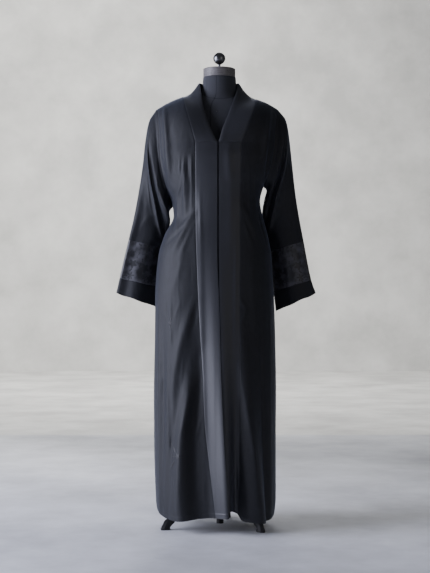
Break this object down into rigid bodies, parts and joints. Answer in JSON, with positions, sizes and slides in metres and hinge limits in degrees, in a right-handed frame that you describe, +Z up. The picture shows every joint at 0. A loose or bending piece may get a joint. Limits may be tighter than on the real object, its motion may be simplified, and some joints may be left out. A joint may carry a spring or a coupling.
{
  "type": "abaya cloak on a dress form",
  "caption": "Long black open-front abaya cloak with a V collar band and wide banded sleeves, worn on a limbless dress form on a pole with a curved-leg foot.",
  "frame": {"origin": "on the floor, under the middle of the object's box", "axes": "+X is the wearer's left, the front faces -Y, +Z is up"},
  "size_m": [0.6885, 0.3697, 1.62],
  "materials": {
    "crepe": "matt black crepe with a faint sheen",
    "satin": "black satin-backed band cloth",
    "jacquard": "black satin with tonal embroidered flowers",
    "form_cover": "black jersey stretched over the form",
    "wood_cap": "grey-brown stained wood",
    "knob": "black painted ball knob",
    "iron": "black painted cast iron"
  },
  "bodies": {
    "root": {"back": "crepe", "front_right": "crepe", "front_left": "crepe", "sleeve_right": "crepe", "sleeve_left": "crepe", "cuff_right": "satin", "cuff_left": "satin", "placket_right": "satin", "placket_left": "satin", "neck_band": "satin", "sleeve_band_right": "jacquard", "sleeve_band_left": "jacquard", "form_torso": "form_cover", "neck_cap": "wood_cap", "finial": "knob", "pole": "iron", "leg_hub": "iron", "leg_right": "iron", "leg_left": "iron", "leg_back": "iron"}
  },
  "joints": []
}
